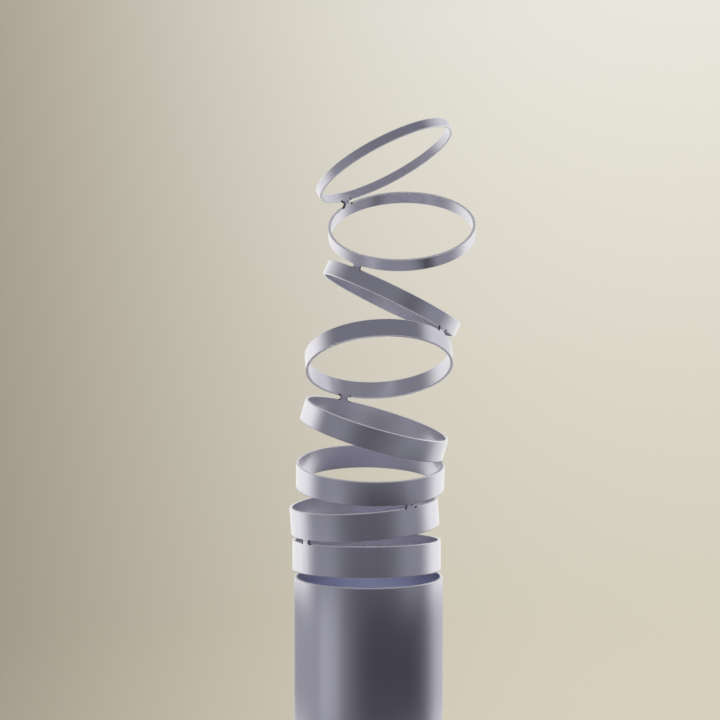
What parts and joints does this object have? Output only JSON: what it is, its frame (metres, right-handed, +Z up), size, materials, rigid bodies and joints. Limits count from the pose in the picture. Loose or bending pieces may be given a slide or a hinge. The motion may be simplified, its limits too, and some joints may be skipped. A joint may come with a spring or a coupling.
{
  "type": "table lamp",
  "caption": "Table lamp: an aluminium tube with a light unit inside, its upper part cut into rings that fold open about narrow uncut bridges.",
  "frame": {"origin": "centre of the foot pad's lower face, on the tube's axis", "axes": "+Z up along the tube's axis, -Y towards the front, +Y towards the cord entry"},
  "size_m": [0.1891, 0.1842, 0.7671],
  "materials": {
    "ballast_steel": "oiled dark steel",
    "black_nylon": "fine moulded texture",
    "brass_parts": "plain",
    "bright_aluminium": "polished",
    "circuit_board": "solder mask",
    "driver_plastic": "moulded",
    "foot_rubber": "matt",
    "mill_aluminium": "mill finish",
    "opal_glass": "opal, acid etched",
    "phosphor": "silicone over phosphor",
    "satin_aluminium": "satin anodised, faint lavender grey",
    "seal_rubber": "matt",
    "thermal_rubber": "matt",
    "white_board": "white solder mask on metal",
    "white_nylon": "moulded",
    "wire_sheath": "extruded",
    "zinc_steel": "zinc plated"
  },
  "bodies": {
    "lamp_body": {"base_plate": "ballast_steel", "base_screws": "zinc_steel", "cord_anchor": "black_nylon", "cord_anchor_screws": "zinc_steel", "cord_saddle": "black_nylon", "diffuser": "opal_glass", "diffuser_ring": "satin_aluminium", "driver_board": "circuit_board", "driver_case": "driver_plastic", "driver_lid": "driver_plastic", "driver_screws": "zinc_steel", "earth_stud": "brass_parts", "earth_tag": "brass_parts", "foot_pad": "foot_rubber", "gland_body": "black_nylon", "gland_cap": "black_nylon", "gland_nut": "black_nylon", "gland_seal": "seal_rubber", "gland_washer": "black_nylon", "heat_sink": "mill_aluminium", "lead_led": "wire_sheath", "led_board": "white_board", "led_emitter": "phosphor", "led_screws": "zinc_steel", "mains_wires": "wire_sheath", "pillar_screws": "zinc_steel", "pillars": "mill_aluminium", "reflector": "bright_aluminium", "shelf": "mill_aluminium", "shelf_screws": "zinc_steel", "terminal_block": "white_nylon", "terminal_screws": "zinc_steel", "thermal_pad": "thermal_rubber", "tube": "satin_aluminium", "wall_lugs": "mill_aluminium", "bridge_foot_1": "satin_aluminium"},
    "ring_1_body": {"ring_1": "satin_aluminium", "bridge_seat_1": "satin_aluminium", "bridge_foot_2": "satin_aluminium"},
    "ring_2_body": {"ring_2": "satin_aluminium", "bridge_seat_2": "satin_aluminium", "bridge_foot_3": "satin_aluminium"},
    "ring_3_body": {"ring_3": "satin_aluminium", "bridge_seat_3": "satin_aluminium", "bridge_foot_4": "satin_aluminium"},
    "ring_4_body": {"ring_4": "satin_aluminium", "bridge_seat_4": "satin_aluminium", "bridge_foot_5": "satin_aluminium"},
    "ring_5_body": {"ring_5": "satin_aluminium", "bridge_seat_5": "satin_aluminium", "bridge_foot_6": "satin_aluminium"},
    "ring_6_body": {"ring_6": "satin_aluminium", "bridge_seat_6": "satin_aluminium", "bridge_foot_7": "satin_aluminium"},
    "ring_7_body": {"ring_7": "satin_aluminium", "bridge_seat_7": "satin_aluminium", "bridge_foot_8": "satin_aluminium"},
    "ring_8_body": {"ring_8": "satin_aluminium", "bridge_seat_8": "satin_aluminium"}
  },
  "joints": [
    {"name": "ring_1_fold", "type": "hinge", "parent": "lamp_body", "child": "ring_1_body", "pos_m": [-0.01023, 0.07279, 0.3105], "axis": [-0.8648, -0.0453, -0.5], "range_deg": [-3, 57]},
    {"name": "ring_2_fold", "type": "hinge", "parent": "ring_1_body", "child": "ring_2_body", "pos_m": [-0.06106, -0.04232, 0.34929], "axis": [0.7257, -0.6568, 0.2049], "range_deg": [-6, 54]},
    {"name": "ring_3_fold", "type": "hinge", "parent": "ring_2_body", "child": "ring_3_body", "pos_m": [0.03961, -0.05672, 0.38693], "axis": [0.6642, 0.5166, -0.5403], "range_deg": [-11, 49]},
    {"name": "ring_4_fold", "type": "hinge", "parent": "ring_3_body", "child": "ring_4_body", "pos_m": [0.06673, 0.03542, 0.42942], "axis": [-0.3207, 0.9364, -0.1425], "range_deg": [-16.5, 43.5]},
    {"name": "ring_5_fold", "type": "hinge", "parent": "ring_4_body", "child": "ring_5_body", "pos_m": [-0.02502, 0.06559, 0.48476], "axis": [-0.8521, -0.5099, 0.1182], "range_deg": [-37, 23]},
    {"name": "ring_6_fold", "type": "hinge", "parent": "ring_5_body", "child": "ring_6_body", "pos_m": [0.07197, -0.01313, 0.55724], "axis": [0.5931, 0.7272, -0.3456], "range_deg": [-36.5, 23.5]},
    {"name": "ring_7_fold", "type": "hinge", "parent": "ring_6_body", "child": "ring_7_body", "pos_m": [-0.01112, -0.02301, 0.62056], "axis": [0.7643, -0.6171, -0.187], "range_deg": [-44, 16]},
    {"name": "ring_8_fold", "type": "hinge", "parent": "ring_7_body", "child": "ring_8_body", "pos_m": [-0.02241, 0.05946, 0.68798], "axis": [-0.8211, -0.4871, -0.2975], "range_deg": [-47.5, 12.5]}
  ]
}
